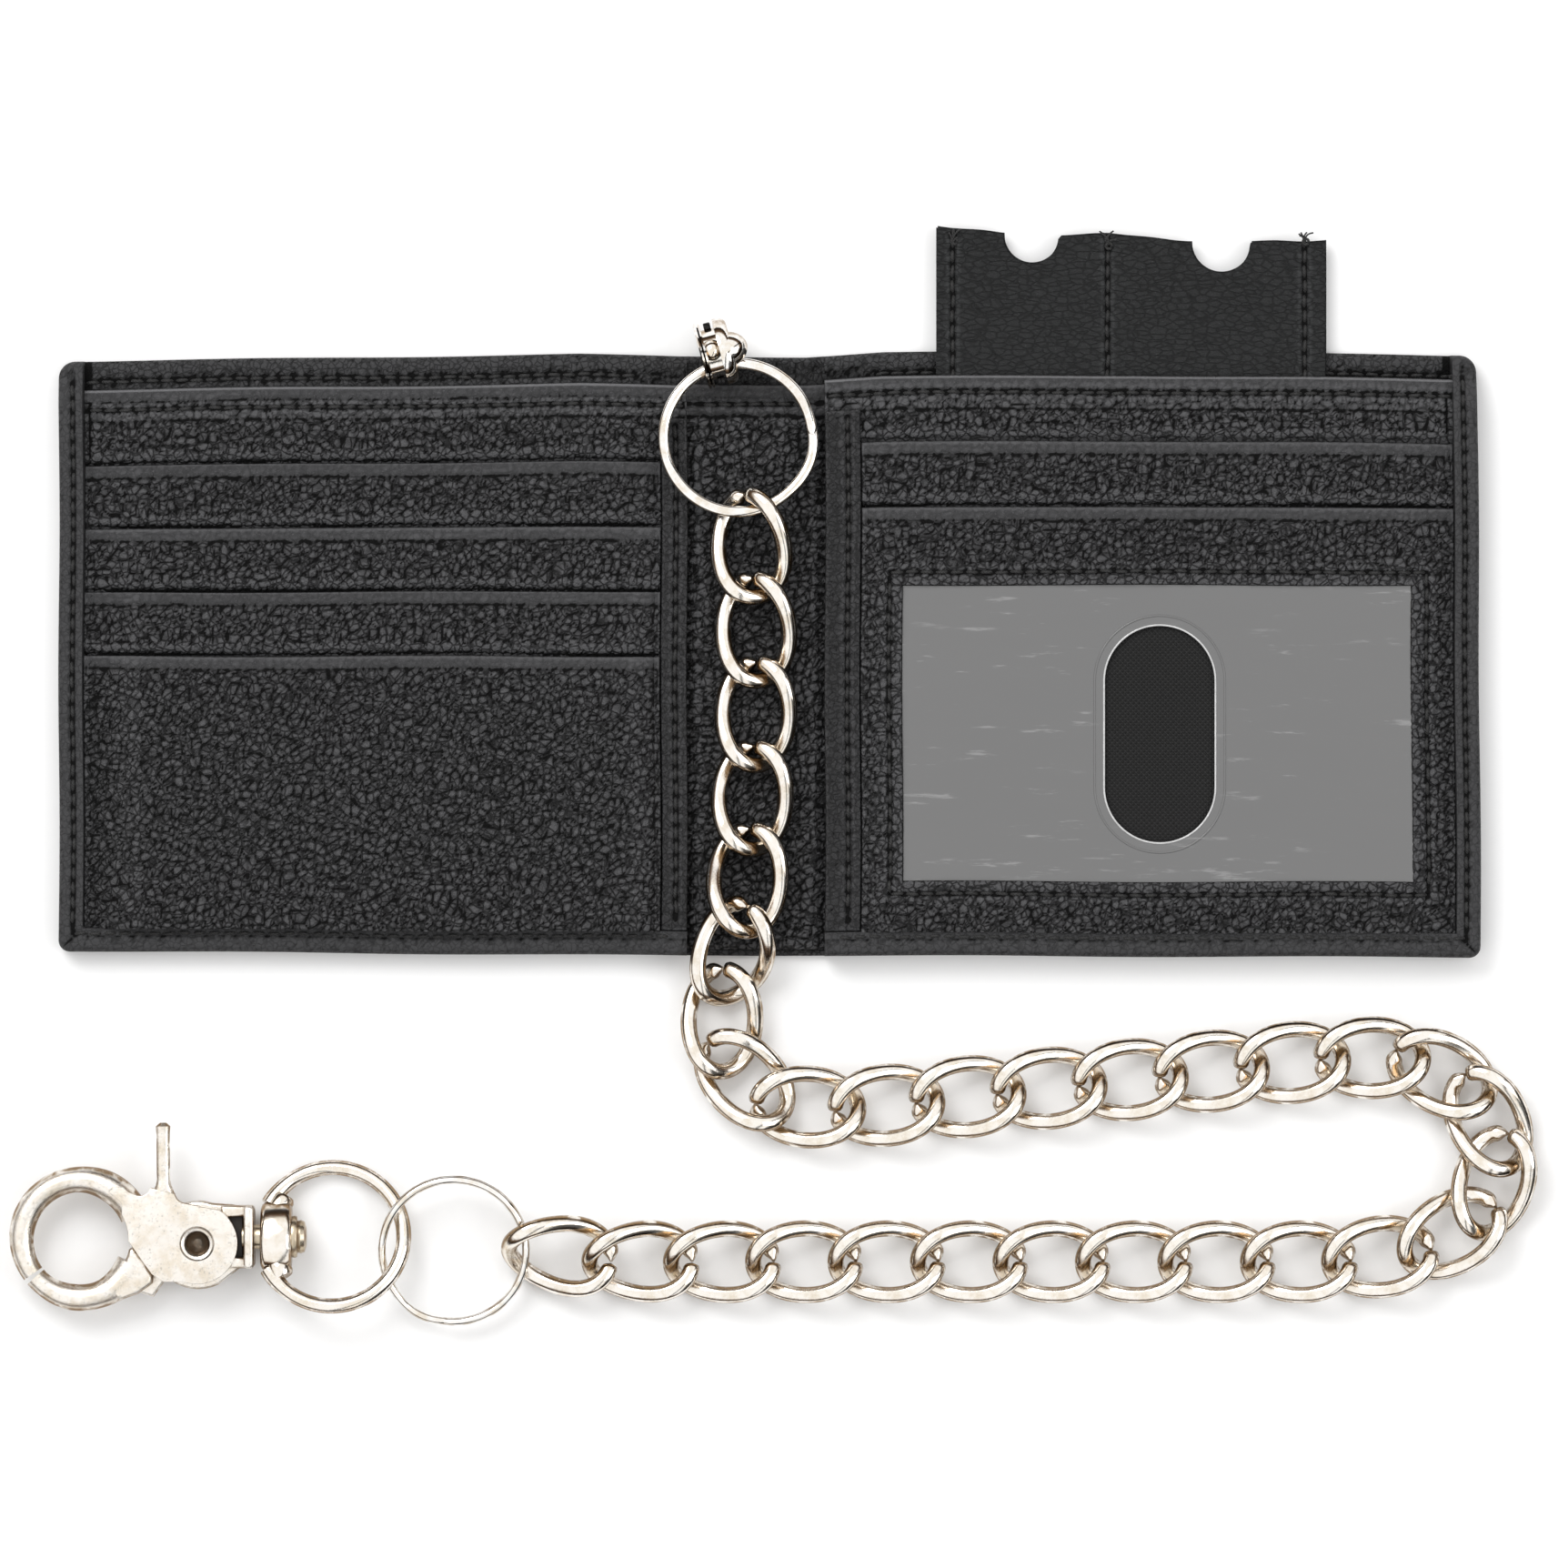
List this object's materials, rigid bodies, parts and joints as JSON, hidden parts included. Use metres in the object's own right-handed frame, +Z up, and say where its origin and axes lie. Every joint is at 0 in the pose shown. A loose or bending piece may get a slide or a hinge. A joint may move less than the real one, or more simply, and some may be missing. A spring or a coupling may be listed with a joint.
{
  "type": "chain wallet",
  "caption": "Open bifold leather wallet with card pockets, an ID window and a sliding key sleeve, tethered to a swivel snap by a curb chain.",
  "frame": {"origin": "middle of the spine's underside, on the plane the open wallet lies on", "axes": "+X from the spine towards the half with the window, +Y towards the wallet's top edge, +Z up out of the open wallet"},
  "size_m": [0.2407, 0.1724, 0.013],
  "materials": {
    "leather": "pebbled, semi-matte",
    "lining": "woven nylon",
    "film": "clear vinyl over a grey backing",
    "nickel_steel": "bright nickel plating",
    "nickel_cast": "nickel plating over a cast body",
    "spring_steel": "drawn wire"
  },
  "bodies": {
    "right_half": {"cover_right": "leather", "divider_right": "leather", "card_pocket_right": "leather", "window_lining": "lining", "window_film": "film", "window_frame": "leather", "binding_right": "leather"},
    "spine": {"spine": "leather", "grommet_eyelet": "nickel_steel", "grommet_washer": "nickel_steel"},
    "left_half": {"cover_left": "leather", "divider_left": "leather", "card_pocket_left_1": "leather", "card_pocket_left_2": "leather", "card_pocket_left_3": "leather", "card_pocket_left_4": "leather", "binding_left": "leather"},
    "key_sleeve": {"key_sleeve_back": "leather", "key_sleeve_front": "leather"},
    "wallet_ring": {"split_ring_wallet": "nickel_steel"},
    "link_01": {"chain_link_01": "nickel_steel"},
    "link_02": {"chain_link_02": "nickel_steel"},
    "link_03": {"chain_link_03": "nickel_steel"},
    "link_04": {"chain_link_04": "nickel_steel"},
    "link_05": {"chain_link_05": "nickel_steel"},
    "link_06": {"chain_link_06": "nickel_steel"},
    "link_07": {"chain_link_07": "nickel_steel"},
    "link_08": {"chain_link_08": "nickel_steel"},
    "link_09": {"chain_link_09": "nickel_steel"},
    "link_10": {"chain_link_10": "nickel_steel"},
    "link_11": {"chain_link_11": "nickel_steel"},
    "link_12": {"chain_link_12": "nickel_steel"},
    "link_13": {"chain_link_13": "nickel_steel"},
    "link_14": {"chain_link_14": "nickel_steel"},
    "link_15": {"chain_link_15": "nickel_steel"},
    "link_16": {"chain_link_16": "nickel_steel"},
    "link_17": {"chain_link_17": "nickel_steel"},
    "link_18": {"chain_link_18": "nickel_steel"},
    "link_19": {"chain_link_19": "nickel_steel"},
    "link_20": {"chain_link_20": "nickel_steel"},
    "link_21": {"chain_link_21": "nickel_steel"},
    "link_22": {"chain_link_22": "nickel_steel"},
    "link_23": {"chain_link_23": "nickel_steel"},
    "link_24": {"chain_link_24": "nickel_steel"},
    "link_25": {"chain_link_25": "nickel_steel"},
    "link_26": {"chain_link_26": "nickel_steel"},
    "link_27": {"chain_link_27": "nickel_steel"},
    "link_28": {"chain_link_28": "nickel_steel"},
    "link_29": {"chain_link_29": "nickel_steel"},
    "link_30": {"chain_link_30": "nickel_steel"},
    "link_31": {"chain_link_31": "nickel_steel"},
    "snap_ring": {"split_ring_snap": "nickel_steel"},
    "swivel_loop": {"swivel_eye": "nickel_cast"},
    "snap": {"swivel_shaft": "nickel_cast", "snap_body": "nickel_cast", "trigger_rivet": "nickel_cast", "trigger_spring": "spring_steel"},
    "snap_trigger": {"trigger": "nickel_cast"}
  },
  "joints": [
    {"name": "spine_fold", "type": "hinge", "parent": "right_half", "child": "spine", "pos_m": [0.0107, 0, 0.0014], "axis": [0, 1, 0], "range_deg": [0, 90]},
    {"name": "left_fold", "type": "hinge", "parent": "spine", "child": "left_half", "pos_m": [-0.0107, 0, 0.0014], "axis": [0, 1, 0], "range_deg": [0, 90]},
    {"name": "ring_swing", "type": "hinge", "parent": "spine", "child": "wallet_ring", "pos_m": [-0.0066, 0.0476, 0.00705], "axis": [-0.9659, -0.2588, 0], "range_deg": [0, 198]},
    {"name": "key_sleeve_slide", "type": "slide", "parent": "right_half", "child": "key_sleeve", "axis": [0, 1, 0], "range_m": [-0.022, 0.03]},
    {"name": "link_01_swing", "type": "hinge", "parent": "wallet_ring", "child": "link_01", "pos_m": [-0.0014, 0.024, 0.0066], "axis": [-0.9962, -0.0872, 0], "range_deg": [0, 12]},
    {"name": "link_02_swing", "type": "hinge", "parent": "link_01", "child": "link_02", "pos_m": [-0.00025, 0.01087, 0.00591], "axis": [-0.9981, -0.0611, 0], "range_deg": [0, 12]},
    {"name": "link_03_swing", "type": "hinge", "parent": "link_02", "child": "link_03", "pos_m": [0.00021, -0.00239, 0.00498], "axis": [-1, 0, 0], "range_deg": [0, 12]},
    {"name": "link_04_swing", "type": "hinge", "parent": "link_03", "child": "link_04", "pos_m": [-0.00025, -0.01568, 0.00487], "axis": [-0.999, 0.0436, 0], "range_deg": [0, 12]},
    {"name": "link_05_swing", "type": "hinge", "parent": "link_04", "child": "link_05", "pos_m": [-0.00094, -0.02885, 0.00556], "axis": [-0.9981, 0.061, 0], "range_deg": [0, 12]},
    {"name": "link_06_swing", "type": "hinge", "parent": "link_05", "child": "link_06", "pos_m": [-0.00183, -0.04149, 0.00734], "axis": [-0.9823, 0.1875, 0], "range_deg": [0, 12]},
    {"name": "link_07_swing", "type": "hinge", "parent": "link_06", "child": "link_07", "pos_m": [-0.00518, -0.05183, 0.00328], "axis": [-0.9856, 0.1691, 0], "range_deg": [0, 12]},
    {"name": "link_08_swing", "type": "hinge", "parent": "link_07", "child": "link_08", "pos_m": [-0.00557, -0.06282, 0.00328], "axis": [-0.9336, -0.3584, 0], "range_deg": [0, 12]},
    {"name": "link_09_swing", "type": "hinge", "parent": "link_08", "child": "link_09", "pos_m": [0.00194, -0.07059, 0.00328], "axis": [-0.4226, -0.9063, 0], "range_deg": [0, 12]},
    {"name": "link_10_swing", "type": "hinge", "parent": "link_09", "child": "link_10", "pos_m": [0.0141, -0.07144, 0.00328], "axis": [-0.0175, 0.9998, 0], "range_deg": [-20, 20]},
    {"name": "link_11_swing", "type": "hinge", "parent": "link_10", "child": "link_11", "pos_m": [0.02689, -0.07009, 0.00328], "axis": [0.1045, -0.9945, 0], "range_deg": [-20, 20]},
    {"name": "link_12_swing", "type": "hinge", "parent": "link_11", "child": "link_12", "pos_m": [0.03968, -0.06875, 0.00328], "axis": [-0.1045, 0.9945, 0], "range_deg": [-20, 20]},
    {"name": "link_13_swing", "type": "hinge", "parent": "link_12", "child": "link_13", "pos_m": [0.05247, -0.06741, 0.00328], "axis": [0.1045, -0.9945, 0], "range_deg": [-20, 20]},
    {"name": "link_14_swing", "type": "hinge", "parent": "link_13", "child": "link_14", "pos_m": [0.06526, -0.06606, 0.00328], "axis": [-0.1045, 0.9945, 0], "range_deg": [-20, 20]},
    {"name": "link_15_swing", "type": "hinge", "parent": "link_14", "child": "link_15", "pos_m": [0.07805, -0.06472, 0.00328], "axis": [0.1045, -0.9945, 0], "range_deg": [-20, 20]},
    {"name": "link_16_swing", "type": "hinge", "parent": "link_15", "child": "link_16", "pos_m": [0.09084, -0.06337, 0.00328], "axis": [-0.061, 0.9981, 0], "range_deg": [-20, 20]},
    {"name": "link_17_swing", "type": "hinge", "parent": "link_16", "child": "link_17", "pos_m": [0.10324, -0.06316, 0.00328], "axis": [0, 0, 1], "range_deg": [0, 20]},
    {"name": "link_18_swing", "type": "hinge", "parent": "link_17", "child": "link_18", "pos_m": [0.11313, -0.06841, 0.00328], "axis": [0, 0, 1], "range_deg": [0, 20]},
    {"name": "link_19_swing", "type": "hinge", "parent": "link_18", "child": "link_19", "pos_m": [0.11778, -0.07794, 0.00328], "axis": [0, 0, 1], "range_deg": [0, 20]},
    {"name": "link_20_swing", "type": "hinge", "parent": "link_19", "child": "link_20", "pos_m": [0.11468, -0.08808, 0.00328], "axis": [0, 0, 1], "range_deg": [0, 20]},
    {"name": "link_21_swing", "type": "hinge", "parent": "link_20", "child": "link_21", "pos_m": [0.10463, -0.09388, 0.00328], "axis": [0, 0, 1], "range_deg": [0, 20]},
    {"name": "link_22_swing", "type": "hinge", "parent": "link_21", "child": "link_22", "pos_m": [0.09212, -0.09541, 0.00328], "axis": [0, 0, 1], "range_deg": [0, 12]},
    {"name": "link_23_swing", "type": "hinge", "parent": "link_22", "child": "link_23", "pos_m": [0.07913, -0.09541, 0.00328], "axis": [0, 1, 0], "range_deg": [-20, 20]},
    {"name": "link_24_swing", "type": "hinge", "parent": "link_23", "child": "link_24", "pos_m": [0.06613, -0.09541, 0.00328], "axis": [0, 0, 1], "range_deg": [0, 12]},
    {"name": "link_25_swing", "type": "hinge", "parent": "link_24", "child": "link_25", "pos_m": [0.05312, -0.09541, 0.00328], "axis": [0, -1, 0], "range_deg": [-20, 20]},
    {"name": "link_26_swing", "type": "hinge", "parent": "link_25", "child": "link_26", "pos_m": [0.04013, -0.09541, 0.00328], "axis": [0, 0, 1], "range_deg": [0, 12]},
    {"name": "link_27_swing", "type": "hinge", "parent": "link_26", "child": "link_27", "pos_m": [0.02712, -0.09541, 0.00328], "axis": [0, 1, 0], "range_deg": [-20, 20]},
    {"name": "link_28_swing", "type": "hinge", "parent": "link_27", "child": "link_28", "pos_m": [0.01413, -0.09541, 0.00328], "axis": [0, 0, 1], "range_deg": [0, 12]},
    {"name": "link_29_swing", "type": "hinge", "parent": "link_28", "child": "link_29", "pos_m": [0.00112, -0.09541, 0.00328], "axis": [0, -1, 0], "range_deg": [-20, 20]},
    {"name": "link_30_swing", "type": "hinge", "parent": "link_29", "child": "link_30", "pos_m": [-0.01177, -0.09541, 0.00373], "axis": [0, 0, 1], "range_deg": [0, 12]},
    {"name": "link_31_swing", "type": "hinge", "parent": "link_30", "child": "link_31", "pos_m": [-0.02455, -0.09519, 0.00439], "axis": [0.0872, 0.9962, 0], "range_deg": [-20, 20]},
    {"name": "snap_ring_swing", "type": "hinge", "parent": "link_31", "child": "snap_ring", "pos_m": [-0.0357, -0.0936, 0.0046], "axis": [0, 1, 0], "range_deg": [-15, 20]},
    {"name": "swivel_loop_swing", "type": "hinge", "parent": "snap_ring", "child": "swivel_loop", "pos_m": [-0.057, -0.0914, 0.0046], "axis": [0, 0, 1], "range_deg": [-6, 15]},
    {"name": "swivel_spin", "type": "hinge", "parent": "swivel_loop", "child": "snap", "pos_m": [-0.076, -0.0914, 0.0046], "axis": [1, 0, 0], "continuous": true},
    {"name": "trigger_open", "type": "hinge", "parent": "snap", "child": "snap_trigger", "pos_m": [-0.0879, -0.0924, 0.0046], "axis": [0, 0, 1], "range_deg": [-30, 0], "stiffness_Nm_per_rad": 0.02, "springref_deg": 20.05}
  ],
  "couplings": [
    {"joint": "left_fold", "follows": "spine_fold", "ratio": 1},
    {"joint": "ring_swing", "follows": "spine_fold", "ratio": 2.2}
  ]
}
